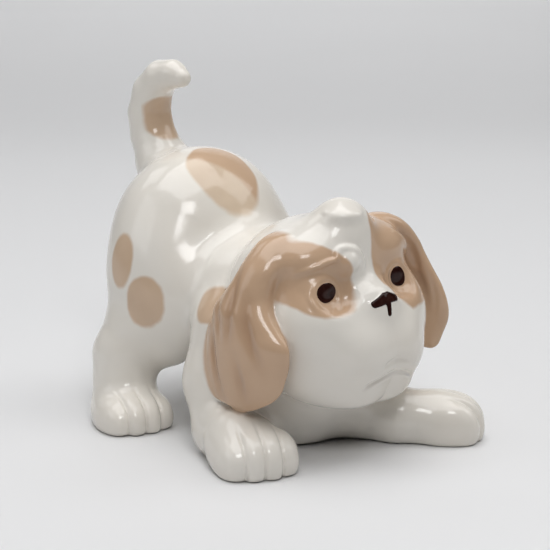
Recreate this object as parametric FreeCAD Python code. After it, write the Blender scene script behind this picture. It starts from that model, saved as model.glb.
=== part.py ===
"""Glazed ceramic figurine of a puppy in a play bow: chest down, rump and tail up.

The figurine is slip cast in separate pieces that are luted together with slip before
firing.  Frame: millimetres, +Z up, floor at Z = 0.  The dog faces -Y and its left side
is +X.  The origin is under the middle of the overall box, on the floor.

Each piece is a rounded form: soft masses (balls and tapered limbs) blended into one
another.  A piece becomes a solid by lofting through section curves of its form.
"""
import FreeCAD, Part
import math
import os

Vec = FreeCAD.Vector

# ---------------------------------------------------------------- driving dimensions, mm
WALL = 3.0                 # cast wall of the hollow torso and head
VENT_RADIUS = 2.5          # firing vent through the belly
NECK_VENT_RADIUS = 4.0     # passage between the torso's hollow and the head's
EYE_RADIUS = 2.9           # dark enamel bead
EYE_CENTRE = (14.6, -38.3, 51.4)
NOSE_CENTRE = (0.0, -46.0, 48.2)
NOSE_RADII = (5.6, 3.0, 2.9)
RAYS = 40                  # points round one section curve
STATIONS = 17              # section curves along one piece
END_SHARE = 0.05           # how far from a piece's ends the first and last sections are
BOX_TOLERANCE = 0.05       # how finely the overall box is measured
SEARCHES = 400             # places tried along a spine to find where the skin is
REACH = 75.0               # farther from a section's middle than any skin
STEP = 1.5                 # search step outwards from a section's middle


# ------------------------------------------------------------------------- soft masses
def ball(centre, radii, tilt_x=0.0, tilt_y=0.0):
    """An ellipsoid, tilted about X, then about Y, in degrees."""
    ax, ay = math.radians(tilt_x), math.radians(tilt_y)
    cx, sx, cy, sy = math.cos(ax), math.sin(ax), math.cos(ay), math.sin(ay)

    def form(x, y, z):
        x, y, z = x - centre[0], y - centre[1], z - centre[2]
        x, z = cy * x - sy * z, sy * x + cy * z
        y, z = cx * y + sx * z, -sx * y + cx * z
        a, b, c = x / radii[0], y / radii[1], z / radii[2]
        near = math.sqrt(a * a + b * b + c * c)
        slope = math.sqrt((a / radii[0]) ** 2 + (b / radii[1]) ** 2 + (c / radii[2]) ** 2)
        return near * (near - 1.0) / (slope + 1e-9)
    return form


def bone(start, end):
    """A straight limb between two joints (x, y, z, radius)."""
    axis = [end[i] - start[i] for i in range(3)]
    square = sum(value * value for value in axis)

    def form(x, y, z):
        arm = (x - start[0], y - start[1], z - start[2])
        along = sum(a * b for a, b in zip(arm, axis)) / square
        along = min(1.0, max(0.0, along))
        gap = math.sqrt(sum((a - along * b) ** 2 for a, b in zip(arm, axis)))
        return gap - (start[3] + along * (end[3] - start[3]))
    return form


def blend(soft, *forms):
    """Union of forms with a fillet of about the given size between them."""
    def form(x, y, z):
        near = forms[0](x, y, z)
        for other in forms[1:]:
            far = other(x, y, z)
            h = min(1.0, max(0.0, 0.5 + 0.5 * (far - near) / soft))
            near = far + (near - far) * h - soft * h * (1.0 - h)
        return near
    return form


def limb(soft, *joints):
    return blend(soft, *[bone(a, b) for a, b in zip(joints, joints[1:])])


def mirrored(form):
    return lambda x, y, z: form(-x, y, z)


def both_sides(form):
    return lambda x, y, z: form(abs(x), y, z)


def paw_form(length, width, height):
    """A paw with four toes, pointing along -Y, its middle over the origin."""
    pad = ball((0, 0.06 * length, 0.30 * height), (0.48 * width, 0.49 * length, 0.70 * height))
    toes = []
    for side, forward in ((-0.345, 0.11), (-0.12, 0.18), (0.12, 0.18), (0.345, 0.11)):
        middle = (side * width, -forward * length, 0.28 * height)
        toes.append(ball(middle, (0.165 * width, 0.31 * length, 0.61 * height)))
    return blend(2.5, pad, blend(2.0, *toes))


# ------------------------------------------------------------------ forms of the pieces
def torso_form():
    rump = ball((0, 35, 52), (30, 24.5, 30))
    belly = ball((0, 9, 40.5), (24, 27, 19.5), tilt_x=-15)
    withers = ball((0, -6, 39.5), (22, 20, 18.5))
    chest = ball((0, -12, 20), (25.5, 19.5, 23.5))
    return blend(8, rump, belly, withers, chest)


def head_form():
    cranium = ball((0, -17, 50), (28.5, 19.5, 19))
    crown = ball((-0.5, -29.3, 64.6), (10.5, 9.5, 11.2))
    brow = both_sides(ball((11, -26.5, 59.5), (13, 10.5, 7.5)))
    jaw = ball((0, -24, 36.5), (28.5, 20.5, 18.5))
    muzzle = ball((0, -34.5, 33.5), (21.5, 16, 16.5))
    bridge = bone((0, -33, 50, 8), (0, -40.5, 46.5, 6.5))
    cheek = both_sides(ball((15, -30.5, 41.5), (12, 12, 12)))
    skull = blend(7, cranium, jaw, crown, brow, muzzle, bridge, cheek)
    lip = both_sides(ball((6, -39.5, 32), (11, 11, 10.5)))
    chin = both_sides(ball((5, -35.5, 20.5), (12, 12, 7)))
    jowl = both_sides(ball((14, -30, 25), (10, 10, 8.5)))
    eyelid = both_sides(ball((14.5, -33, 51.5), (6, 5, 5.4)))
    return blend(2, blend(4, skull, lip, chin, jowl), eyelid)


def hind_shank_form():
    thigh = ball((19, 31, 39), (14, 19, 23))
    shank = limb(4, (25, 36, 28, 10), (27.5, 38.5, 20, 9.6), (29, 36, 11, 9.4), (30, 35.5, 5, 9.8))
    return blend(5, thigh, shank)


RIGHT_ARM = limb(4, (-19, -3, 34, 13), (-25, -2, 20, 12.3), (-29, -5, 8, 9.5), (-34, -18, 7.5, 9.2))
LEFT_ARM = limb(4, (18, -10, 26, 12), (13, -25, 9, 9.5), (18.5, -34.5, 6.5, 8.4), (22.5, -39, 6.5, 7.8))

# Each paw: middle x and y, heading from -Y towards +X in degrees, length, width, height.
LEFT_HIND_PAW = (32.8, 30, 15, 26, 23, 12.5)
RIGHT_HIND_PAW = (-32.8, 30, -15, 26, 23, 12.5)
LEFT_FRONT_PAW = (28.5, -44, 42, 25, 19.5, 15)
RIGHT_FRONT_PAW = (-33, -26.2, -24, 25, 24, 14)

# Level sections of each ear, from its root on the head down to its tip:
# height, distance from the middle plane, y, half width, half thickness.
RIGHT_EAR = (
    (66.5, 19.8, -22, 3.4, 3.2), (63.5, 22.6, -22, 4.8, 4.2), (59, 26, -22, 6.2, 4.9), (54, 28.8, -21.3, 7, 5),
    (50, 30.6, -20.3, 8.4, 5), (46, 32.3, -20, 10.8, 4.9), (38.5, 33.3, -21.4, 15.8, 4.6),
    (34, 33.6, -21.2, 16.8, 4.4), (28, 33.8, -20.8, 16.7, 4.1), (23.5, 33.8, -21, 15.4, 3.7),
    (20.3, 33.8, -21.2, 12.4, 3.3), (18, 33.8, -21.8, 8.2, 2.8), (16.4, 33.6, -24, 3.5, 2),
)
LEFT_EAR = (
    (67.2, 21.5, -22.5, 3.5, 3.3), (64.5, 24.5, -22.5, 5.4, 4.4), (59, 29, -21.8, 7.8, 4.8),
    (54, 31.5, -21.2, 9.4, 4.7), (49, 33.3, -21.8, 10.8, 4.5), (44, 35, -22.5, 12.2, 4.3),
    (34, 37, -23.5, 12.4, 3.8), (28, 37.2, -25.2, 8.4, 3.2), (23.4, 37, -29.5, 2.6, 2),
)
LEFT_EAR_FLARE = 0.16      # how far the front edge turns out, per unit of width

# The tail's centre line and radius, from its root up to the tip that curls forward.
TAIL_JOINTS = (
    (0, 44, 67, 10.5), (0, 52, 75, 8.2), (0, 57, 83, 6.6), (0, 58.7, 90, 6.2),
    (0, 57, 97, 5.7), (0, 52.5, 102, 4.9), (0, 47, 103.6, 3.9), (0, 42.5, 102.8, 2.8),
)


# ------------------------------------------------------------------- forms into solids
def skin_distance(form, middle, direction, level):
    """How far from middle the form's skin, sunk by level, lies in a direction."""
    def outside(distance):
        point = [m + distance * d for m, d in zip(middle, direction)]
        return form(*point) > level

    low = 0.0
    while low < REACH and not outside(low + STEP):
        low += STEP
    high = low + STEP
    for _ in range(14):
        half = 0.5 * (low + high)
        if outside(half):
            high = half
        else:
            low = half
    return low


def through(wires):
    """A solid through section curves, its faces turned outwards."""
    solid = Part.makeLoft(wires, True)
    if solid.Volume < 0.0:
        solid.reverse()
    return solid


def section(form, middle, across, up, level):
    """A closed curve on the skin, in the plane of the across and up directions."""
    points = []
    for ray in range(RAYS):
        angle = 2.0 * math.pi * ray / RAYS
        direction = [math.cos(angle) * u + math.sin(angle) * v for u, v in zip(across, up)]
        reach = max(0.3, skin_distance(form, middle, direction, level))
        points.append(Vec(*[m + reach * d for m, d in zip(middle, direction)]))
    curve = Part.BSplineCurve()
    knots = [step / RAYS for step in range(RAYS + 1)]
    curve.interpolate(Points=points, PeriodicFlag=True, Parameters=knots)
    return Part.Wire(curve.toShape())


def at_station(spine, key, value):
    """The point of a straight-line spine whose coordinate number key is value."""
    for a, b in zip(spine, spine[1:]):
        if min(a[key], b[key]) <= value <= max(a[key], b[key]):
            share = (value - a[key]) / (b[key] - a[key])
            return [p + share * (q - p) for p, q in zip(a, b)]
    raise ValueError("station outside the spine")


def loft(form, spine, level=0.0):
    """A solid through sections of a form, square to the coordinate the spine runs along.

    The spine runs inside the form and ends outside it: the loft stops at the skin.
    """
    key = max(range(3), key=lambda i: abs(spine[-1][i] - spine[0][i]))
    across, up = {1: ((1, 0, 0), (0, 0, 1)), 2: ((1, 0, 0), (0, 1, 0))}[key]
    first, last = spine[0][key], spine[-1][key]
    inside = []
    for n in range(SEARCHES + 1):
        value = first + (last - first) * n / SEARCHES
        if form(*at_station(spine, key, value)) < level:
            inside.append(value)
    wires = []
    for n in range(STATIONS):
        turn = END_SHARE + (1.0 - 2.0 * END_SHARE) * n / (STATIONS - 1.0)
        value = inside[0] + (inside[-1] - inside[0]) * 0.5 * (1.0 - math.cos(math.pi * turn))
        wires.append(section(form, at_station(spine, key, value), across, up, level))
    return through(wires)


def round_tube(joints):
    """A solid through circles centred on the joints and square to the line they follow."""
    wires = []
    for n, (x, y, z, radius) in enumerate(joints):
        before, after = joints[max(0, n - 1)], joints[min(len(joints) - 1, n + 1)]
        along = Vec(*[q - p for p, q in zip(before[:3], after[:3])])
        wires.append(Part.Wire(Part.makeCircle(radius, Vec(x, y, z), along)))
    return through(wires)


def ear(sections, side, flare):
    """A flap through level ellipses; side is 1 for the dog's left and -1 for its right."""
    along = Vec(-side * flare, 1, 0).normalize()
    across = Vec(along.y, -along.x, 0)
    wires = []
    for height, out, y, half_width, half_thickness in sections:
        middle = Vec(side * out, y, height)
        ellipse = Part.Ellipse(middle + along * half_width, middle + across * half_thickness, middle)
        wires.append(Part.Wire(ellipse.toShape()))
    return through(wires)


def paw(x, y, heading, length, width, height):
    """A paw on the floor."""
    spine = ((0, length, 0.36 * height), (0, -length, 0.36 * height))
    solid = loft(paw_form(length, width, height), spine)
    solid.rotate(Vec(0, 0, 0), Vec(0, 0, 1), heading)
    solid.translate(Vec(x, y, 0))
    return solid


def bead(centre, radii):
    """A small ellipsoid."""
    stretch = FreeCAD.Matrix()
    stretch.scale(Vec(*radii))
    stretch.move(Vec(*centre))
    return Part.makeSphere(1.0).transformGeometry(stretch)


def largest(shape):
    return max(shape.Solids, key=lambda solid: solid.Volume)


def cut(shape, *tools):
    for tool in tools:
        shape = largest(shape.cut(tool))
    return shape


def join(first, *others):
    for other in others:
        first = largest(first.fuse(other))
    return first


# --------------------------------------------------------------------------- the pieces
BELOW_FLOOR = Part.makeBox(300, 300, 60, Vec(-150, -150, -60))
TORSO_SPINE = ((0, 64, 54), (0, 33, 51), (0, 9, 42), (0, -15, 27), (0, -42, 20))
HEAD_SPINE = ((0, 4, 48), (0, -17, 47), (0, -24, 42), (0, -35, 36), (0, -56, 36))
HIND_SPINE = ((30, 35.5, -8), (30, 35.5, 5), (27.5, 38, 20), (20, 31, 39), (19, 31, 66))
RIGHT_ARM_SPINE = ((-31, -11, -4), (-31, -11, 8), (-27, -5, 17), (-25, -2, 20), (-19, -3, 34), (-19, -3, 52))
LEFT_ARM_SPINE = ((18, 6, 26), (18, -10, 26), (13, -25, 9), (18.5, -34.5, 6.5), (22.5, -39, 6.5), (26, -52, 6))


def leg_pieces(torso):
    """The four legs, solid, each with its paw flat on the floor and its root on the torso."""
    left_shank = loft(hind_shank_form(), HIND_SPINE)
    right_shank = left_shank.mirror(Vec(0, 0, 0), Vec(1, 0, 0))
    legs = {
        "left_hind_leg": join(left_shank, paw(*LEFT_HIND_PAW)),
        "right_hind_leg": join(right_shank, paw(*RIGHT_HIND_PAW)),
        "left_front_leg": join(loft(LEFT_ARM, LEFT_ARM_SPINE), paw(*LEFT_FRONT_PAW)),
        "right_front_leg": join(loft(RIGHT_ARM, RIGHT_ARM_SPINE), paw(*RIGHT_FRONT_PAW)),
    }
    return {name: cut(leg, BELOW_FLOOR, torso) for name, leg in legs.items()}


def make_pieces():
    torso = cut(loft(torso_form(), TORSO_SPINE), BELOW_FLOOR)
    pieces = leg_pieces(torso)
    around_head = [torso, pieces["left_front_leg"], pieces["right_front_leg"]]
    head = cut(loft(head_form(), HEAD_SPINE), *around_head)

    base_block = Part.makeBox(300, 300, 60, Vec(-150, -150, WALL - 60))
    torso_hollow = cut(loft(torso_form(), TORSO_SPINE, level=-WALL), base_block)
    belly_vent = Part.makeCylinder(VENT_RADIUS, 24, Vec(0, 14, 14), Vec(0, 0, 1))
    neck_vent = Part.makeCylinder(NECK_VENT_RADIUS, 26, Vec(0, -12, 40), Vec(0, -1, 0.35))
    pieces["torso_shell"] = cut(torso, torso_hollow, belly_vent, neck_vent)
    pieces["head_shell"] = cut(head, loft(head_form(), HEAD_SPINE, level=-WALL))

    pieces["left_ear"] = cut(ear(LEFT_EAR, 1, LEFT_EAR_FLARE), head, *around_head)
    pieces["right_ear"] = cut(ear(RIGHT_EAR, -1, 0), head, *around_head)
    pieces["tail"] = cut(round_tube(TAIL_JOINTS), torso)
    x, y, z = EYE_CENTRE
    eye_radii = (EYE_RADIUS, EYE_RADIUS, EYE_RADIUS)
    pieces["left_eye"] = cut(bead((x, y, z), eye_radii), head)
    pieces["right_eye"] = cut(bead((-x, y, z), eye_radii), head)
    pieces["nose"] = cut(bead(NOSE_CENTRE, NOSE_RADII), head)
    return pieces


def centred(pieces):
    """Move the figurine so that its overall box is centred on the Z axis."""
    points = [point for shape in pieces.values() for point in shape.tessellate(BOX_TOLERANCE)[0]]
    east, north = [point.x for point in points], [point.y for point in points]
    shift = Vec(-0.5 * (min(east) + max(east)), -0.5 * (min(north) + max(north)), 0)
    for shape in pieces.values():
        shape.translate(shift)
    return pieces


os.makedirs("parts", exist_ok=True)
for node, solid in centred(make_pieces()).items():
    solid.exportStep("parts/" + node + ".step")
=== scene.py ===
"""Looks of the glazed ceramic puppy: sculpted cast pieces, glaze, enamel, studio.

The figurine is one smooth skin shared by its cast pieces.  Each piece is the part of the
skin's inside that lies nearer to its own masses than to any other piece's, so the pieces
are closed solids that meet face to face, and the luted seams do not show in the glaze.
Lengths in the shape code are millimetres in the same axes as the CAD part.
"""
import math

import bpy
import numpy as np
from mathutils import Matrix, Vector


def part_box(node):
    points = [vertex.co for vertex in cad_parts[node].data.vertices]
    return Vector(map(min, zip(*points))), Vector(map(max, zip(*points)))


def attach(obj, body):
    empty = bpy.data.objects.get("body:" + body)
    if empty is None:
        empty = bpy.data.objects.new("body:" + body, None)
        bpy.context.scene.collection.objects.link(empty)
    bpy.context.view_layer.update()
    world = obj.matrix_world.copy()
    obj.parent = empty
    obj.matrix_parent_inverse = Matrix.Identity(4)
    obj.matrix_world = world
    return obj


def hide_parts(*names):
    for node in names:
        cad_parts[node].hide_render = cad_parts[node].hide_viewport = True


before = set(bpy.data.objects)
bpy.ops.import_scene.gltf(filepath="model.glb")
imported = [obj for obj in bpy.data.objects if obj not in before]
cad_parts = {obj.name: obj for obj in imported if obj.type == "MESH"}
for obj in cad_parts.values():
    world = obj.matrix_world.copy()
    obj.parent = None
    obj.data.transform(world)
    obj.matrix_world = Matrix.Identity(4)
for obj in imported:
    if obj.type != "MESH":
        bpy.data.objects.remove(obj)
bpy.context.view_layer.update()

MM = 0.001
TAIL_BACK = 64.9                      # furthest back of the tail, in shape coordinates
tail_low, tail_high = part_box("tail")
SHIFT = np.array([(tail_low[0] + tail_high[0]) / 2 / MM, tail_high[1] / MM - TAIL_BACK, 0.0])


# ------------------------------------------------------------------------- soft masses
def smooth_min(a, b, soft):
    h = np.clip(0.5 + 0.5 * (b - a) / soft, 0.0, 1.0)
    return b + (a - b) * h - soft * h * (1.0 - h)


def smooth_max(a, b, soft):
    return -smooth_min(-a, -b, soft)


def turned(rx=0.0, ry=0.0, rz=0.0):
    """Rotation matrix from turns about X, then Y, then Z, in degrees."""
    ax, ay, az = (math.radians(angle) for angle in (rx, ry, rz))
    x = np.array([[1, 0, 0], [0, math.cos(ax), -math.sin(ax)], [0, math.sin(ax), math.cos(ax)]])
    y = np.array([[math.cos(ay), 0, math.sin(ay)], [0, 1, 0], [-math.sin(ay), 0, math.cos(ay)]])
    z = np.array([[math.cos(az), -math.sin(az), 0], [math.sin(az), math.cos(az), 0], [0, 0, 1]])
    return z @ y @ x


def ball(points, centre, radii, turn=None):
    """Roughly the signed distance to an ellipsoid."""
    local = points - np.array(centre, float)
    if turn is not None:
        local = local @ turn
    radii = np.array(radii, float)
    near = np.sqrt(np.sum((local / radii) ** 2, axis=1))
    slope = np.sqrt(np.sum((local / radii ** 2) ** 2, axis=1)) + 1e-9
    return near * (near - 1.0) / slope


def bone(points, start, end):
    """Signed distance to a tapered limb between two joints (x, y, z, radius)."""
    a, axis = np.array(start[:3], float), np.array(end[:3], float) - np.array(start[:3], float)
    arm = points - a
    along = np.clip(arm @ axis / (axis @ axis), 0.0, 1.0)
    gap = np.linalg.norm(arm - along[:, None] * axis, axis=1)
    return gap - (start[3] + along * (end[3] - start[3]))


def limb(points, joints, soft):
    skin = bone(points, joints[0], joints[1])
    for a, b in zip(joints[1:], joints[2:]):
        skin = smooth_min(skin, bone(points, a, b), soft)
    return skin


def other_side(points):
    return points * np.array([-1.0, 1.0, 1.0])


def folded(points):
    """The points brought to the dog's left half, for features it has on both sides."""
    both = points.copy()
    both[:, 0] = np.abs(both[:, 0])
    return both


def smooth_path(points, per_span=6):
    """A Catmull-Rom curve through a few points, as a denser list of points."""
    p = np.array(points, float)
    p = np.vstack([2 * p[0] - p[1], p, 2 * p[-1] - p[-2]])
    curve = []
    for i in range(1, len(p) - 2):
        for t in np.arange(per_span) / per_span:
            a, b, c, d = p[i - 1], p[i], p[i + 1], p[i + 2]
            curve.append(0.5 * (2 * b + (c - a) * t + (2 * a - 5 * b + 4 * c - d) * t ** 2
                                + (3 * b - a - 3 * c + d) * t ** 3))
    curve.append(p[-2])
    return np.array(curve)


def crease(skin, points, path, depth, width):
    """Sink (or raise, with a negative depth) the skin along a path of (x, y, z, share).

    share scales the depth at each point, so that a crease can fade out at its ends.
    """
    curve = smooth_path(path)
    low, high = curve[:, :3].min(0) - 3.0 * width, curve[:, :3].max(0) + 3.0 * width
    near = np.all((points > low) & (points < high), axis=1)
    if not near.any():
        return skin
    local = points[near]
    best = np.full(len(local), 1e9)
    share = np.zeros(len(local))
    for a, b in zip(curve, curve[1:]):
        axis = b[:3] - a[:3]
        along = np.clip((local - a[:3]) @ axis / (axis @ axis + 1e-12), 0.0, 1.0)
        gap = np.sum((local - a[:3] - along[:, None] * axis) ** 2, axis=1)
        closer = gap < best
        best = np.where(closer, gap, best)
        share = np.where(closer, a[3] + along * (b[3] - a[3]), share)
    skin = skin.copy()
    skin[near] += depth * share * np.exp(-best / width ** 2)
    return skin


# --------------------------------------------------------------------- the dog's masses
def torso(points):
    skin = smooth_min(ball(points, (0, 35, 52), (30, 24.5, 30)),
                      ball(points, (0, 9, 40.5), (24, 27, 19.5), turned(-15)), 7)
    skin = smooth_min(skin, ball(points, (0, -6, 39.5), (22, 20, 18.5)), 8)
    return smooth_min(skin, ball(points, (0, -12, 20), (25.5, 19.5, 23.5)), 8)


# Each toe of a paw: place across, place ahead and half height, as shares of the paw's sizes.
TOES = ((-0.335, 0.11, 0.50), (-0.12, 0.18, 0.57), (0.12, 0.18, 0.57), (0.335, 0.11, 0.50))
TOE_GAPS = (-0.23, 0.0, 0.23)
TOE_GROOVE_DEPTH, TOE_GROOVE_WIDTH = 0.5, 0.6


def paw(points, x, y, heading, length, width, height):
    """A paw with four rounded toes; heading turns it from -Y towards +X, in degrees."""
    turn = math.radians(heading)
    ahead = np.array([math.sin(turn), -math.cos(turn)])
    flat = points[:, :2] - np.array([x, y], float)
    local = np.stack([flat @ ahead, flat @ np.array([-ahead[1], ahead[0]]), points[:, 2]], axis=1)
    pad = ball(local, (-0.06 * length, 0, 0.30 * height), (0.49 * length, 0.48 * width, 0.70 * height))
    toes = None
    for side, forward, tall in TOES:
        middle = (forward * length, side * width, 0.28 * height)
        toe = ball(local, middle, (0.31 * length, 0.175 * width, tall * height))
        toes = toe if toes is None else smooth_min(toes, toe, 3.2)
    skin = smooth_min(pad, toes, 3)
    ahead_share = np.clip(local[:, 0] / (0.3 * length) + 0.1, 0.0, 1.0)
    for gap in TOE_GAPS:
        groove = np.exp(-((local[:, 1] - gap * width) / TOE_GROOVE_WIDTH) ** 2)
        skin = skin + TOE_GROOVE_DEPTH * ahead_share * groove
    return skin


def hind_leg(points):
    thigh = ball(points, (19, 31, 39), (14, 19, 23))
    shank = limb(points, ((25, 36, 28, 10), (27.5, 38.5, 20, 9.4), (29.5, 37, 11, 8.8), (30, 36, 5, 9.6)), 4)
    return smooth_min(smooth_min(thigh, shank, 5), paw(points, 32.8, 30, 15, 26, 23, 12), 3.5)


def right_front_leg(points):
    joints = ((-19, -3, 34, 13), (-24, -4, 20, 11.8), (-28.5, -9.5, 8, 9.4), (-33.5, -19, 7.5, 9.2))
    return smooth_min(limb(points, joints, 4), paw(points, -33.0, -26.2, -24, 25, 24, 14), 4)


def left_front_leg(points):
    joints = ((18, -10, 26, 12), (13, -25, 9, 9.5), (18.5, -34.5, 6.5, 8.4), (22.5, -39, 6.5, 7.8))
    return smooth_min(limb(points, joints, 4), paw(points, 28.5, -44, 42, 25, 19.5, 15), 3)


def tail(points):
    joints = ((0, 44, 67, 10.5), (0, 52, 75, 8.2), (0, 57, 83, 6.6), (0, 58.7, 90, 6.2),
              (0, 57, 97, 5.7), (0, 52.5, 102, 4.9), (0, 47, 103.6, 3.9), (0, 42.5, 102.8, 2.8))
    return limb(points, joints, 3)


FACE_MIDDLE = np.array([-1.1, 0.0, 0.0])     # the eyes and the bridge sit a little to the dog's right
EYE = np.array([14.4, -37.6, 51.8])          # middle of the left eye on the skin, from FACE_MIDDLE
LEFT_EYE_RADII, RIGHT_EYE_RADII = (2.8, 2.9), (3.5, 2.8)
EYE_TURN = turned(0, 0, 14)
EYE_DEPTH = 2.2
LID_REACH, LID_RIM, LID_BAG = 11.0, 0.22, 0.62   # how far the lids spread, and how high they stand


def head(points):
    both, face = folded(points), folded(points - FACE_MIDDLE)
    skin = smooth_min(ball(points, (0, -17, 50), (28.5, 19.5, 19)),
                      ball(points, (0, -24, 36.5), (28.5, 20.5, 18.5)), 8)
    skin = smooth_min(skin, ball(points, (-1.3, -29.3, 64.8), (10, 9.5, 11.2)), 7)
    skin = smooth_min(skin, ball(both, (11, -26.5, 59.5), (13, 10.5, 7.5)), 7)
    skin = smooth_min(skin, ball(points, (0, -34.5, 33.5), (21.5, 16, 16.5)), 8)
    skin = smooth_min(skin, bone(points, (-0.8, -33, 50, 8), (-0.4, -40.5, 46.5, 6.5)), 6)
    skin = smooth_min(skin, ball(both, (15, -30.5, 41.5), (12, 12, 12)), 7)
    skin = smooth_min(skin, ball(both, (6, -39.5, 32), (11, 11, 10.5)), 5)
    skin = smooth_min(skin, ball(both, (5, -35.5, 22.2), (12, 12, 7)), 3)
    skin = smooth_min(skin, ball(both, (14, -30, 27), (10, 10, 8.5)), 6)
    skin = smooth_max(skin, -ball(face, (13.4, -42, 51.8), (6, 4.2, 4.8)), 3)
    skin = smooth_min(skin, ball(face, (14.3, -33, 51.8), (6, 5, 5.4)), 1.6)
    skin = smooth_min(skin, ball(points, (-4.6, -34.0, 72), (4.6, 2.8, 1.5), turned(0, 0, -38)), 2.6)
    return smooth_min(skin, ball(points, (-7.0, -37.2, 59.2), (4.2, 4, 4)), 2)


def profile(height, table):
    """Smooth curves of a table's columns over its first column, which rises."""
    knots = np.array(table, float)
    z, values = knots[:, 0], knots[:, 1:]
    slope = np.gradient(values, z, axis=0)
    place = np.clip(height, z[0], z[-1])
    i = np.clip(np.searchsorted(z, place) - 1, 0, len(z) - 2)
    gap = z[i + 1] - z[i]
    t = ((place - z[i]) / gap)[:, None]
    rise = gap[:, None]
    return (values[i] * (2 * t ** 3 - 3 * t ** 2 + 1) + slope[i] * rise * (t ** 3 - 2 * t ** 2 + t)
            + values[i + 1] * (3 * t ** 2 - 2 * t ** 3) + slope[i + 1] * rise * (t ** 3 - t ** 2)).T


# Level sections of each ear: height, out from the middle plane, y, half thickness, half width.
LEFT_EAR = ((23.4, 37, -29.5, 2.0, 2.6), (28, 37.2, -25.2, 3.2, 8.4), (34, 37, -23.5, 3.8, 12.4),
            (44, 35, -22.5, 4.3, 12.2), (49, 33.3, -21.8, 4.5, 10.8), (54, 31.5, -21.2, 4.7, 9.4),
            (59, 29, -21.8, 4.8, 7.8), (64.5, 24.5, -22.5, 4.4, 5.4), (67.2, 21.5, -22.5, 3.3, 3.5))
RIGHT_EAR = ((17.2, 33.6, -22.6, 2.0, 3.5), (18.8, 33.8, -20.5, 2.8, 8.2), (21.0, 33.8, -20.0, 3.3, 12.4),
             (24.0, 33.8, -20.0, 3.7, 15.2), (28, 33.8, -20.2, 4.1, 16.5), (34, 33.6, -21.2, 4.4, 16.8),
             (38.5, 33.3, -21.4, 4.6, 15.8), (42, 32.9, -20.8, 4.7, 13.3), (46, 32.3, -20.0, 4.9, 10.8),
             (50, 30.6, -20.3, 5.0, 8.4), (54, 28.8, -21.3, 5.0, 7.0), (59, 26.0, -22.0, 4.9, 6.2),
             (63.5, 22.6, -22.0, 4.2, 4.8), (66.5, 19.8, -22.0, 3.2, 3.4))


def ear(points, table, bend, flare):
    """A flap with rounded edges; bend curls the edges in, flare turns the front edge out."""
    out, middle, thick, wide = profile(points[:, 2], table)
    y = points[:, 1] - middle
    x = points[:, 0] - out + bend * y ** 2 + flare * y
    near = np.sqrt((x / thick) ** 2 + (y / wide) ** 2) + 1e-9
    slope = np.sqrt((x / thick ** 2) ** 2 + (y / wide ** 2) ** 2) + 1e-9
    skin = near * (near - 1.0) / slope
    end = np.maximum(table[0][0] - points[:, 2], points[:, 2] - table[-1][0])
    return smooth_max(skin, end, 2.5)


def left_ear(points):
    return ear(points, LEFT_EAR, 0.004, 0.16)


def right_ear(points):
    return ear(other_side(points), RIGHT_EAR, 0.012, 0.0)


# The nose's two lobes and the line below them, each from (x, z, radius) to (x, z, radius).
NOSE_BONES = (((-0.9, 49.3, 1.5), (-4.8, 48.0, 0.95)), ((0.6, 49.4, 1.5), (4.3, 48.5, 0.95)),
              ((-0.1, 48.8, 1.1), (-0.5, 45.0, 0.75)))
NOSE_Y, NOSE_DEPTH = -47.0, 3.5


def nose_edge(points):
    """Signed distance to the outline of the nose enamel, seen from the front."""
    edge = np.full(len(points), 1e9)
    flat = points[:, [0, 2]]
    for (x0, z0, r0), (x1, z1, r1) in NOSE_BONES:
        start, axis = np.array([x0, z0]), np.array([x1 - x0, z1 - z0])
        arm = flat - start
        along = np.clip(arm @ axis / (axis @ axis), 0.0, 1.0)
        gap = np.linalg.norm(arm - along[:, None] * axis, axis=1)
        edge = smooth_min(edge, gap - (r0 + along * (r1 - r0)), 0.5)
    return np.maximum(edge, np.abs(points[:, 1] - NOSE_Y) - NOSE_DEPTH)


def eye_edge(points, side):
    """Signed distance to an eye's enamel bead; side is 1 for the dog's left."""
    local = ((points - FACE_MIDDLE) * np.array([side, 1.0, 1.0]) - EYE) @ EYE_TURN
    wide, high = LEFT_EYE_RADII if side > 0 else RIGHT_EYE_RADII
    rim = (np.hypot(local[:, 0] / wide, local[:, 2] / high) - 1.0) * high
    return smooth_max(rim, np.abs(local[:, 1]) - EYE_DEPTH, 0.3)


MASSES = {"torso_shell": torso, "head_shell": head, "left_ear": left_ear, "right_ear": right_ear,
          "tail": tail, "left_front_leg": left_front_leg, "right_front_leg": right_front_leg,
          "left_hind_leg": hind_leg, "right_hind_leg": lambda points: hind_leg(other_side(points))}
BEADS = {"left_eye": lambda points: eye_edge(points, 1), "right_eye": lambda points: eye_edge(points, -1),
         "nose": nose_edge}
BEAD_SWELLS = (("left_eye", 0.25, 0.5), ("right_eye", 0.25, 0.5), ("nose", 0.35, 0.6))   # height, edge width
FLOOR_ROUND = 1.2


def eyelids(skin, both):
    """A rim round each eye, a fold under it and a crease from its outer corner."""
    near = np.linalg.norm(both - EYE, axis=1) < LID_REACH
    if near.any():
        local = (both[near] - EYE) @ EYE_TURN
        reach = np.hypot(local[:, 0] / 1.04, local[:, 2])
        below = 0.5 - 0.5 * np.tanh(local[:, 2] / 2.5)
        rim = -LID_RIM * np.exp(-((reach - 4.0) / 0.7) ** 2)
        round_bag = np.hypot(local[:, 0] - 0.6, local[:, 2] + 0.8)
        bag_share = np.exp(-((round_bag - 5.1) / 0.65) ** 2 - (local[:, 1] / 3.0) ** 4)
        bag = -LID_BAG * below * bag_share
        skin = skin.copy()
        skin[near] += rim + bag
    corner = ((18.6, -36.0, 50.6, 0.6), (21, -34, 49.6, 1), (24, -31, 48.8, 0.1))
    return crease(skin, both, corner, 0.4, 0.7)


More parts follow.
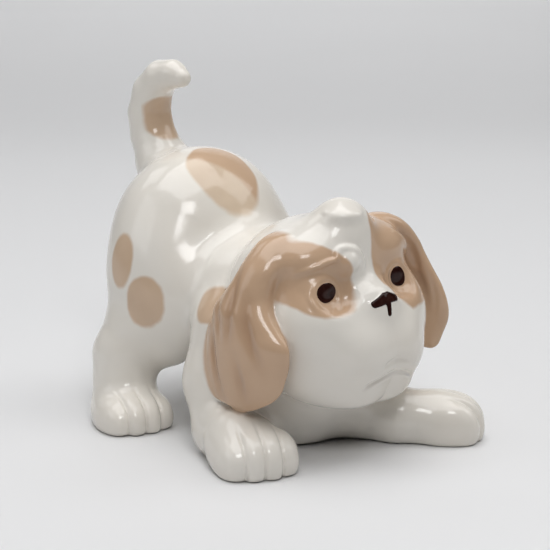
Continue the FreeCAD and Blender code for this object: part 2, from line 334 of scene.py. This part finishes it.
RIGHT_EAR_FOLDS = (  # on the right ear's outer face: y, z, share, which fades the ends
    ((-19.0, 57, 0.3), (-20.0, 50, 1), (-20.5, 43, 0.8), (-20.5, 36, 0.1)),
    ((-24.5, 52, 0.2), (-26.0, 45, 1), (-29.0, 38, 1), (-32.0, 31, 0.2)),
    ((-11.5, 41, 0.2), (-12.5, 35, 1), (-14.5, 28, 1), (-17.5, 20, 0.2)),
    ((-13.5, 50, 0.2), (-15.0, 44, 0.8), (-17.0, 37, 0.2)),
    ((-23.5, 34, 0.2), (-25.0, 27, 0.8), (-26.0, 20, 0.2)))
LEFT_EAR_FOLDS = (  # on the left ear's outer face, the same way
    ((-27.5, 54, 0.2), (-30.0, 46, 1), (-31.5, 37, 0.2)),
    ((-24.0, 52, 0.2), (-26.0, 43, 1), (-28.0, 33, 0.2)))


def pressed(skin, points, folds, side, depth, width):
    """Grooves down an ear's outer face, pressed in from that side of the head."""
    flat = points * np.array([0.0, 1.0, 1.0])
    outer = np.clip((points[:, 0] * side - 24.0) / 4.0, 0.0, 1.0)
    for fold in folds:
        groove = crease(np.zeros(len(points)), flat, [(0.0, *knot) for knot in fold], depth, width)
        skin = skin + outer * groove
    return skin


def both_ways(*path):
    """A path from the middle plane out, and the same on the other side."""
    return tuple((-x, y, z, share) for x, y, z, share in reversed(path[1:])) + path


# Creases on the face: path, depth (negative stands proud) and width.
FACE_CREASES = (
    # the mouth, the lip above it and the cheek fold on the dog's right
    (both_ways((0, -50.5, 27.7, 1), (4, -50, 27.1, 1), (7.6, -48.8, 25.7, 0.9), (9.6, -47.6, 24.3, 0.2)),
     1.1, 0.8),
    (both_ways((0, -51, 31.6, 1), (3, -51, 31.1, 1), (5.6, -50.6, 29.9, 0.3)), 0.7, 1.0),
    (((-8, -49, 26.2, 0.3), (-13.5, -47, 26.8, 0.8), (-18, -43, 26.6, 0.1)), 0.4, 1.5),
    # the hooked brow ridge over the right eye
    (((-23, -32, 57.2, 0.1), (-18.4, -35.9, 59, 0.7), (-14.5, -37.6, 60.4, 1), (-12, -38.4, 61.1, 1),
      (-10.6, -37.6, 63, 1), (-8.3, -38.1, 63.7, 1), (-4.5, -39.1, 62.4, 1), (-2.6, -39.4, 59.1, 1),
      (-3.2, -39.8, 56.5, 0.6), (-6.1, -39.9, 54.3, 0.1)), -1.05, 0.9),
    # the dip across the top of the bridge
    (both_ways((0, -42.5, 55.8, 1), (4.5, -41.5, 55.3, 0.9), (8, -40, 54, 0.1)), 0.7, 2.6))

# Creases on the ears, the same way: the right ear's raised edge, then the left ear's hollow and rim.
EAR_CREASES = (
    (((-36.5, -28.5, 50, 0.3), (-37.5, -31, 42, 1), (-37, -35, 34, 0.4)), -0.6, 1.4),
    (((18.5, -33, 65, 0.3), (25, -30, 60, 1), (29.5, -28.8, 55, 1), (32.5, -29.5, 49, 0.1)), 2.0, 1.4),
    (((14, -34.5, 66.5, 0.2), (20.5, -33.5, 60.5, 1), (26, -31, 54.5, 1), (30.5, -30, 48, 0.2)), -0.9, 1.2))
LEFT_EAR_STREAKS = ((34.8, 33, 48), (37.6, 30, 45))      # x, lowest and highest z of each streak

VENT_Y, VENT_RADIUS = 14.0, 2.5
VENT_MIDDLE_Z, VENT_HALF_DEPTH = 22.0, 6.0
VENT_ROUND = 0.8


def sculpt(skin, points):
    """The fine modelling: mouth, lids, folds and the vent."""
    skin = eyelids(skin, folded(points - FACE_MIDDLE))
    for path, depth, width in FACE_CREASES:
        skin = crease(skin, points, path, depth, width)
    skin = pressed(skin, points, RIGHT_EAR_FOLDS, -1, 0.9, 1.5)
    skin = pressed(skin, points, LEFT_EAR_FOLDS, 1, 0.7, 1.4)
    for path, depth, width in EAR_CREASES:
        skin = crease(skin, points, path, depth, width)
    for x, low, high in LEFT_EAR_STREAKS:
        streak = ((x - 1.3, -33, high, 0.1), (x, -34, 0.5 * (low + high), 1), (x + 0.6, -33, low, 0.1))
        skin = crease(skin, points, streak, 0.6, 0.8)
    for name, proud, fade in BEAD_SWELLS:
        skin = skin - proud * np.clip(0.5 - BEADS[name](points) / fade, 0.0, 1.0)
    vent = np.hypot(points[:, 0], points[:, 1] - VENT_Y) - VENT_RADIUS
    vent = np.maximum(vent, np.abs(points[:, 2] - VENT_MIDDLE_Z) - VENT_HALF_DEPTH)
    return smooth_max(skin, -vent, VENT_ROUND)


def all_masses(points):
    return {name: form(points) for name, form in MASSES.items()}


BODY_FILLETS = (("left_hind_leg", 7), ("right_hind_leg", 7), ("left_front_leg", 6),
                ("right_front_leg", 6), ("tail", 4))
HEAD_FILLET = 2.5


def skin_of(masses, points):
    """Signed distance to the figurine's skin, with fillets where the pieces are luted."""
    skin = masses["torso_shell"]
    for name, fillet in BODY_FILLETS:
        skin = smooth_min(skin, masses[name], fillet)
    face = smooth_min(masses["head_shell"], masses["left_ear"], HEAD_FILLET)
    face = smooth_min(face, masses["right_ear"], HEAD_FILLET)
    skin = smooth_min(skin, face, HEAD_FILLET)
    skin = sculpt(skin, points)
    return smooth_max(skin, -points[:, 2], FLOOR_ROUND)


def skin_and_share(points, name):
    """The skin, and how far outside the named piece's share of it each point is."""
    masses = all_masses(points)
    skin = skin_of(masses, points)
    if name in BEADS:
        return skin, BEADS[name](points)
    others = np.min([value for other, value in masses.items() if other != name], axis=0)
    share = masses[name] - others
    for edge in BEADS.values():
        share = np.maximum(share, -edge(points))
    return skin, share


# ---------------------------------------------------------------------------- the mesher
CHUNK = 200000


def in_chunks(function, points):
    parts = [function(points[i:i + CHUNK]) for i in range(0, len(points), CHUNK)]
    return [np.concatenate(column) for column in zip(*parts)]


def sample_grid(fields, low, high, step):
    """Both fields on a grid, worked out only near the surface (elsewhere just the sign)."""
    block = 4
    size = np.ceil((high - low) / (step * block)).astype(int) * block + 1
    coarse = (size - 1) // block
    width = step * block
    axes = [low[i] + (np.arange(coarse[i]) + 0.5) * width for i in range(3)]
    centres = np.stack(np.meshgrid(*axes, indexing="ij"), -1).reshape(-1, 3)
    skin, share = in_chunks(fields, centres)
    solid = np.maximum(skin, share).reshape(coarse)
    near = np.abs(solid) < width * 1.7
    sign = np.where(solid > 0, 10.0, -10.0).astype(np.float32)
    for axis in range(3):
        sign = np.repeat(sign, block, axis)
    grids = []
    for _ in range(2):
        grid = np.empty(size, np.float32)
        grid[:-1, :-1, :-1] = sign
        grid[-1], grid[:, -1], grid[:, :, -1] = grid[-2], grid[:, -2], grid[:, :, -2]
        grids.append(grid)
    mask = np.zeros(size, bool)
    cells = np.argwhere(near) * block
    for offset in np.ndindex(block + 1, block + 1, block + 1):
        mask[tuple((cells + offset).T)] = True
    skin, share = in_chunks(fields, low + np.argwhere(mask) * step)
    grids[0][mask], grids[1][mask] = skin, share
    return grids


def surface_net(skin, share, low, step):
    """Vertices, quads and a flag for the vertices that lie on a piece's seam."""
    solid = np.maximum(skin, share)
    inside = solid < 0
    size = np.array(solid.shape) - 1
    count = np.zeros(size, np.int8)
    for a, b, c in np.ndindex(2, 2, 2):
        count += inside[a:a + size[0], b:b + size[1], c:c + size[2]]
    active = (count > 0) & (count < 8)
    cells = np.argwhere(active)
    number = np.full(size, -1, np.int64)
    number[active] = np.arange(len(cells))
    total = np.zeros((len(cells), 3))
    crossings = np.zeros(len(cells))
    on_skin = np.zeros(len(cells))
    for axis in range(3):
        across = [i for i in range(3) if i != axis]
        for u, v in np.ndindex(2, 2):
            start = np.zeros(3, int)
            start[across] = u, v
            end = start.copy()
            end[axis] = 1
            a, b = tuple((cells + start).T), tuple((cells + end).T)
            crossed = inside[a] != inside[b]
            fall = np.where(crossed, solid[a] - solid[b], 1.0)
            t = np.where(crossed, solid[a] / fall, 0.0)
            place = np.tile(start.astype(float), (len(cells), 1))
            place[:, axis] = t
            total += place * crossed[:, None]
            crossings += crossed
            lead = (skin[a] - share[a]) * (1.0 - t) + (skin[b] - share[b]) * t
            on_skin += crossed & (lead > 0)
    vertices = low + (cells + total / crossings[:, None]) * step
    seam = (on_skin > 0) & (on_skin < crossings)
    quads = []
    for axis in range(3):
        first, second = ((1, 2), (2, 0), (0, 1))[axis]
        here, there = [slice(1, -1)] * 3, [slice(1, -1)] * 3
        here[axis], there[axis] = slice(0, -1), slice(1, None)
        from_inside = inside[tuple(here)]
        edges = np.argwhere(from_inside != inside[tuple(there)])
        if not len(edges):
            continue
        outward = from_inside[tuple(edges.T)]
        edges = edges + 1
        edges[:, axis] -= 1
        corners = []
        for u, v in ((1, 1), (0, 1), (0, 0), (1, 0)):
            cell = edges.copy()
            cell[:, first] -= u
            cell[:, second] -= v
            corners.append(number[tuple(cell.T)])
        quad = np.stack(corners, 1)
        quads.append(np.where(outward[:, None], quad, quad[:, ::-1]))
    return vertices, np.concatenate(quads), seam


SLOPE_STEP = 0.04


def slopes(fields, points):
    """Gradients of both fields."""
    steps = np.concatenate([SLOPE_STEP * np.eye(3), -SLOPE_STEP * np.eye(3)])
    values = [in_chunks(fields, points + step) for step in steps]
    out = []
    for which in range(2):
        out.append(np.stack([(values[i][which] - values[i + 3][which]) / (2 * SLOPE_STEP)
                             for i in range(3)], 1))
    return out


def settle(fields, vertices, seam, step, rounds=3):
    """Move the vertices exactly onto the skin, the seam's face or the curve where they meet."""
    for _ in range(rounds):
        skin, share = in_chunks(fields, vertices)
        skin_slope, share_slope = slopes(fields, vertices)
        aa = np.sum(skin_slope ** 2, 1) + 1e-9
        bb = np.sum(share_slope ** 2, 1) + 1e-9
        ab = np.sum(skin_slope * share_slope, 1)
        det = aa * bb - ab ** 2 + 1e-3
        u = (bb * skin - ab * share) / det
        v = (aa * share - ab * skin) / det
        curve = -(u[:, None] * skin_slope + v[:, None] * share_slope)
        face = np.where((skin > share)[:, None], -(skin / aa)[:, None] * skin_slope,
                        -(share / bb)[:, None] * share_slope)
        move = np.where(seam[:, None], curve, face)
        length = np.linalg.norm(move, axis=1, keepdims=True)
        vertices = vertices + move * np.minimum(1.0, 0.8 * step / (length + 1e-9))
    return vertices


def unit(vectors):
    return vectors / (np.linalg.norm(vectors, axis=1, keepdims=True) + 1e-12)


def cast_piece(name, low, high, step):
    """One closed cast piece as a Blender mesh object, with the skin's own normals."""
    def fields(points):
        return skin_and_share(points, name)

    low, high = np.array(low, float), np.array(high, float)
    skin, share = sample_grid(fields, low, high, step)
    vertices, quads, seam = surface_net(skin, share, low, step)
    vertices = settle(fields, vertices, seam, step)
    skin_slope, share_slope = slopes(fields, vertices)
    skin_normal, share_normal = unit(skin_slope), unit(share_slope)
    middle_skin, middle_share = in_chunks(fields, vertices[quads].mean(1))
    outer = middle_skin > middle_share
    mesh = bpy.data.meshes.new(name)
    mesh.from_pydata([], [], [])
    mesh.vertices.add(len(vertices))
    mesh.vertices.foreach_set("co", ((vertices + SHIFT) * MM).astype(np.float32).ravel())
    mesh.loops.add(quads.size)
    mesh.loops.foreach_set("vertex_index", quads.ravel().astype(np.int32))
    mesh.polygons.add(len(quads))
    mesh.polygons.foreach_set("loop_start", np.arange(0, quads.size, 4, dtype=np.int32))
    mesh.update(calc_edges=True)
    mesh.polygons.foreach_set("use_smooth", np.ones(len(quads), bool))
    normals = np.where(outer[:, None, None], skin_normal[quads], share_normal[quads])
    mesh.normals_split_custom_set(normals.reshape(-1, 3))
    for key, values in paint_of(vertices).items():
        mesh.attributes.new(key, "FLOAT", "POINT").data.foreach_set("value", values.astype(np.float32))
    piece = bpy.data.objects.new(name + "_cast", mesh)
    bpy.context.scene.collection.objects.link(piece)
    return piece


# ------------------------------------------------------------------------ painted stain and painted shade
def oval(u, v, u0, v0, a, b):
    return (np.hypot((u - u0) / a, (v - v0) / b) - 1.0) * min(a, b)


def rounded_box(u, v, u0, v0, a, b, corner):
    du, dv = np.abs(u - u0) - a + corner, np.abs(v - v0) - b + corner
    return np.hypot(np.maximum(du, 0), np.maximum(dv, 0)) + np.minimum(np.maximum(du, dv), 0) - corner


SADDLE = (-0.8, 22.9, 11.4, 10.7)                        # middle x, y and half lengths
SADDLE_LOWEST = 55.0
FLANK_SPOTS = ((34.3, 51, 5.4, 8.2), (24, 40, 6.6, 8), (-3, 43.5, 7.5, 5))   # middle y, z, half lengths
FLANK_OUTSIDE = -12.0                                    # the spots are on the dog's right of this x
FACE_BACK = -18.0                                        # the face patches are in front of this y
TAIL_SPOT = (0, 89.5, 5.8, 6.6, 3.5)                     # middle x, z, half lengths, corner radius
TAIL_SPOT_BACK = 55.5                                    # it is on the tail's front, before this y
RIGHT_PATCH = (-17.6, 55.7, 10.3, 10.1, 7)               # round each eye: x, z, half lengths, corner
LEFT_PATCH = (16.4, 58.8, 14.4, 15.3, 6)
BARE = 9.0                                               # a distance well clear of any stain
BODY = ("torso_shell", "tail", "left_front_leg", "right_front_leg", "left_hind_leg", "right_hind_leg")


def paint_of(points):
    """Where the stain lies: distance to its edge (negative inside, mm), darkening along the ear folds, and
    weight, which on the saddle also carries painted shade.
    """
    x, y, z = points.T
    masses = all_masses(points)
    saddle = oval(x, y, *SADDLE)
    stain = np.where(z > SADDLE_LOWEST, saddle, BARE)
    flank = np.min([oval(y, z, *spot) for spot in FLANK_SPOTS], axis=0)
    stain = np.minimum(stain, np.where(x < FLANK_OUTSIDE, flank, BARE))
    ears = np.minimum(masses["left_ear"], masses["right_ear"])
    rest = np.min([value for name, value in masses.items() if not name.endswith("_ear")], axis=0)
    ears = np.maximum(ears - 2.2, 0.8 * (ears - rest) - 0.3)
    right_patch = rounded_box(x + 0.45 * np.maximum(z - 57, 0), z - 0.2 * np.maximum(-19.5 - x, 0),
                              *RIGHT_PATCH)
    left_patch = np.maximum(rounded_box(x, z, *LEFT_PATCH), 0.75 * (54.2 - z - 0.87 * x))
    patches = np.where(y < FACE_BACK, np.minimum(right_patch, left_patch), BARE)
    stain = np.minimum(stain, smooth_min(patches, ears, 2))
    stain = np.minimum(stain, np.where(y < TAIL_SPOT_BACK, rounded_box(x, z, *TAIL_SPOT), BARE))
    # the beige is drawn darker along the ear folds
    in_folds = pressed(np.zeros(len(points)), points, RIGHT_EAR_FOLDS, -1, 1.0, 2.0)
    in_folds = pressed(in_folds, points, LEFT_EAR_FOLDS, 1, 1.0, 1.8)
    body = np.min([masses[name] for name in BODY], axis=0)
    on_head = np.clip(0.5 + 0.25 * (body - np.minimum(masses["head_shell"], ears)), 0.0, 1.0)
    # painted shade and painted reflection: the saddle's beige is drawn deeper on the side away from the
    # camera and lighter on the near side, where the overhead softbox is reflected
    saddle_painted_shade = np.clip(0.5 + (0.73 * x + 0.68 * y - 14.0) / 1.4, 0.0, 1.0)
    body_stain_and_shade = np.where((z > SADDLE_LOWEST) & (saddle < 2.0), 0.85 * saddle_painted_shade, 0.55)
    return {"stain_mm": np.clip(stain, -6.0, 6.0), "fold_darkening": np.clip(in_folds, 0.0, 1.0),
            "stain_and_shade_weight": np.maximum(body_stain_and_shade, on_head)}


# ------------------------------------------------------------------------------- glazes
def new_material(name):
    material = bpy.data.materials.new(name)
    material.use_nodes = True
    nodes = material.node_tree.nodes
    return material, nodes, material.node_tree.links, nodes["Principled BSDF"]


def noise(nodes, links, scale, detail=3.0):
    """Solid noise in object space; scale is in cycles per metre."""
    place = nodes.new("ShaderNodeTexCoord")
    texture = nodes.new("ShaderNodeTexNoise")
    texture.inputs["Scale"].default_value = scale
    texture.inputs["Detail"].default_value = detail
    links.new(place.outputs["Object"], texture.inputs["Vector"])
    return texture.outputs["Fac"]


def remap(nodes, links, value, low, high, to_low, to_high, smooth=False):
    node = nodes.new("ShaderNodeMapRange")
    node.interpolation_type = "SMOOTHSTEP" if smooth else "LINEAR"
    for key, number in (("From Min", low), ("From Max", high), ("To Min", to_low), ("To Max", to_high)):
        node.inputs[key].default_value = number
    links.new(value, node.inputs["Value"])
    return node.outputs["Result"]


def mix_colour(nodes, links, share, first, second):
    node = nodes.new("ShaderNodeMix")
    node.data_type = "RGBA"
    for socket, colour in ((node.inputs[6], first), (node.inputs[7], second)):
        if isinstance(colour, tuple):
            socket.default_value = (*colour, 1.0)
        else:
            links.new(colour, socket)
    links.new(share, node.inputs[0])
    return node.outputs[2]


def add(nodes, links, a, b):
    node = nodes.new("ShaderNodeMath")
    node.operation = "ADD"
    links.new(a, node.inputs[0])
    links.new(b, node.inputs[1])
    return node.outputs[0]


def painted(nodes, name):
    stain = nodes.new("ShaderNodeAttribute")
    stain.attribute_name = name
    return stain.outputs["Fac"]


def glaze_surface(nodes, links, shader, roughness, ripple):
    """Gloss that varies a little and the faint unevenness of a dipped glaze."""
    cloud = noise(nodes, links, 90.0)
    links.new(remap(nodes, links, cloud, 0.3, 0.7, roughness * 0.8, roughness * 1.3),
              shader.inputs["Roughness"])
    bump = nodes.new("ShaderNodeBump")
    bump.inputs["Distance"].default_value = ripple
    bump.inputs["Strength"].default_value = 1.0
    links.new(noise(nodes, links, 160.0, 2.0), bump.inputs["Height"])
    links.new(bump.outputs["Normal"], shader.inputs["Normal"])
    shader.inputs["IOR"].default_value = 1.5


ENAMEL_DARK, ENAMEL_WARM = (0.020, 0.006, 0.005), (0.035, 0.013, 0.010)
PAPER, PAPER_LIGHT = (0.75, 0.752, 0.76), (0.77, 0.772, 0.78)
WHITE, WHITE_WARM = (0.835, 0.80, 0.74), (0.815, 0.77, 0.70)
# the thin beige is the body spots' lighter stain and also the saddle's painted lit side; the full beige is
# the face's stain and also the saddle's painted shaded side
BEIGE_THIN_AND_LIT, BEIGE, BEIGE_DEEP = (0.73, 0.595, 0.455), (0.60, 0.415, 0.28), (0.43, 0.27, 0.17)


def cast_glaze():
    """Clear glaze over white porcelain, with the airbrushed beige stain beneath it; on the saddle the beige
    also carries painted shade, and it is drawn darker along the ear folds.
    """
    material, nodes, links, shader = new_material("stained_white_glaze")
    white = mix_colour(nodes, links, remap(nodes, links, noise(nodes, links, 45.0), 0.35, 0.7, 0, 1),
                       WHITE, WHITE_WARM)
    # the weight mixes thin and full stain, and on the saddle it paints shade on the side away from the
    # camera
    beige = mix_colour(nodes, links, painted(nodes, "stain_and_shade_weight"), BEIGE_THIN_AND_LIT, BEIGE)
    cloud = remap(nodes, links, noise(nodes, links, 70.0, 4.0), 0.35, 0.8, 0, 0.3)
    # darker beige along the ear folds
    in_folds = remap(nodes, links, painted(nodes, "fold_darkening"), 0, 1, 0, 0.65)
    beige = mix_colour(nodes, links, add(nodes, links, cloud, in_folds), beige, BEIGE_DEEP)
    wobble = remap(nodes, links, noise(nodes, links, 140.0, 3.0), 0.3, 0.7, -0.3, 0.3)
    edge = remap(nodes, links, add(nodes, links, painted(nodes, "stain_mm"), wobble), 0.6, -0.7, 0, 1, True)
    links.new(mix_colour(nodes, links, edge, white, beige), shader.inputs["Base Color"])
    glaze_surface(nodes, links, shader, 0.12, 0.00006)
    return material


def dark_enamel():
    material, nodes, links, shader = new_material("brown_enamel_gloss")
    cloud = remap(nodes, links, noise(nodes, links, 600.0), 0.35, 0.7, 0, 1)
    links.new(mix_colour(nodes, links, cloud, ENAMEL_DARK, ENAMEL_WARM), shader.inputs["Base Color"])
    glaze_surface(nodes, links, shader, 0.07, 0.00002)
    shader.inputs["Specular IOR Level"].default_value = 0.2
    return material


# --------------------------------------------------------------------- build the pieces
MESH_SCALE = 1.0      # coarser meshes while working
PIECES = {                                   # lowest corner, highest corner, mesh step, slot
    "torso_shell": ((-34, -38, -2), (34, 62, 85), 0.8, "white_glaze"),
    "head_shell": ((-33, -56, 8), (33, 6, 80), 0.5, "white_glaze"),
    "left_ear": ((14, -44, 18), (46, -8, 74), 0.5, "beige_glaze"),
    "right_ear": ((-44, -46, 8), (-14, 0, 76), 0.5, "beige_glaze"),
    "tail": ((-13, 34, 56), (13, 70, 112), 0.5, "white_glaze"),
    "left_front_leg": ((-4, -66, -2), (48, 8, 44), 0.6, "white_glaze"),
    "right_front_leg": ((-56, -52, -2), (-4, 12, 52), 0.6, "white_glaze"),
    "left_hind_leg": ((4, 6, -2), (48, 56, 66), 0.7, "white_glaze"),
    "right_hind_leg": ((-48, 6, -2), (-4, 56, 66), 0.7, "white_glaze"),
    "left_eye": ((10, -42, 46), (20, -31, 57), 0.2, "brown_enamel"),
    "right_eye": ((-20, -42, 46), (-10, -31, 57), 0.2, "brown_enamel"),
    "nose": ((-8, -53, 41), (8, -39, 53), 0.2, "brown_enamel"),
}

glaze = cast_glaze()
enamel = dark_enamel()
for node, (low, high, step, slot) in PIECES.items():
    piece = cast_piece(node, low, high, step * MESH_SCALE)
    piece.data.materials.append(enamel if slot == "brown_enamel" else glaze)
    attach(piece, "root")
    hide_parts(node)


# -------------------------------------------------------------------------------- studio
VIEW_AZIMUTH, VIEW_ELEVATION, VIEW_DISTANCE = -43.0, 14.0, 0.600
VIEW_TARGET = Vector((SHIFT[0], SHIFT[1], 47.4)) * MM
VIEW_WIDTH = 1.0 / 6.0                # metres seen across the picture at the target
SENSOR = 36.0


def area_light(name, place, aim, size, power):
    data = bpy.data.lights.new(name, "AREA")
    data.shape = "RECTANGLE"
    data.size, data.size_y = size
    data.energy = power
    light = bpy.data.objects.new(name, data)
    light.location = place
    light.rotation_euler = (Vector(aim) - Vector(place)).to_track_quat("-Z", "Y").to_euler()
    bpy.context.scene.collection.objects.link(light)


def stage_floor():
    """A pale sweep: a floor that curves up into a backdrop."""
    reach, rise, radius, steps = 2.0, 1.6, 0.8, 24
    bend = reach * 0.6                                   # where the floor starts to curve up
    sweep = [(-reach, 0.0), (bend, 0.0)]
    for n in range(1, steps + 1):
        turn = 0.5 * math.pi * n / steps
        sweep.append((bend + radius * math.sin(turn), radius * (1 - math.cos(turn))))
    sweep.append((bend + radius, rise))
    view = math.radians(VIEW_AZIMUTH)
    ahead = Vector((-math.sin(view), math.cos(view), 0))
    side = Vector((ahead.y, -ahead.x, 0))
    vertices, faces = [], []
    for along, height in sweep:
        for edge in (-reach, reach):
            vertices.append(ahead * along + side * edge + Vector((0, 0, height)))
    for n in range(len(sweep) - 1):
        faces.append((2 * n, 2 * n + 1, 2 * n + 3, 2 * n + 2))
    mesh = bpy.data.meshes.new("studio_floor")
    mesh.from_pydata(vertices, [], faces)
    mesh.polygons.foreach_set("use_smooth", [True] * len(faces))
    floor = bpy.data.objects.new("studio_floor", mesh)
    bpy.context.scene.collection.objects.link(floor)
    material, nodes, links, shader = new_material("pale_paper")
    shade = remap(nodes, links, noise(nodes, links, 3.0), 0.3, 0.7, 0, 1)
    links.new(mix_colour(nodes, links, shade, PAPER, PAPER_LIGHT), shader.inputs["Base Color"])
    shader.inputs["Roughness"].default_value = 0.6
    mesh.materials.append(material)


def add_camera():
    a, e = math.radians(VIEW_AZIMUTH), math.radians(VIEW_ELEVATION)
    back = Vector((math.sin(a) * math.cos(e), -math.cos(a) * math.cos(e), math.sin(e)))
    data = bpy.data.cameras.new("camera")
    data.sensor_width = SENSOR
    data.lens = SENSOR * VIEW_DISTANCE / VIEW_WIDTH
    data.clip_start, data.clip_end = 0.01, 20.0
    camera = bpy.data.objects.new("camera", data)
    camera.location = VIEW_TARGET + back * VIEW_DISTANCE
    camera.rotation_euler = (-back).to_track_quat("-Z", "Y").to_euler()
    bpy.context.scene.collection.objects.link(camera)
    bpy.context.scene.camera = camera


SOFTBOXES = (                         # name, place, aim, width and height, watts
    ("overhead_softbox", (0.0, 0.0, 1.2), (0, 0, 0.0), (1.2, 1.2), 12.4),
    ("backdrop_softbox", (0.7, 0.75, 1.1), (1.5, 1.6, 0.6), (1.0, 0.6), 10.0),
    ("front_key_softbox", (-0.384, -0.548, 0.743), (0, 0, 0.04), (0.28, 0.24), 1.8),
    ("back_key_softbox", (-0.095, 0.675, 0.730), (0, 0, 0.04), (0.36, 0.32), 0.5),
    ("right_softbox", (0.61, -0.35, 0.70), (0, 0, 0.04), (0.5, 0.5), 1.5),
    ("left_softbox", (-0.75, 0.35, 0.55), (0, 0, 0.05), (0.6, 0.5), 1.1),
)
WORLD_STRENGTH = 0.01


def light_world():
    """A faint even light from all round."""
    world = bpy.data.worlds.new("studio")
    bpy.context.scene.world = world
    world.use_nodes = True
    background = world.node_tree.nodes["Background"]
    background.inputs["Color"].default_value = (1.0, 1.0, 1.0, 1.0)
    background.inputs["Strength"].default_value = WORLD_STRENGTH


add_camera()
stage_floor()
for softbox in SOFTBOXES:
    area_light(*softbox)
light_world()
bpy.context.scene.view_settings.view_transform = "Standard"
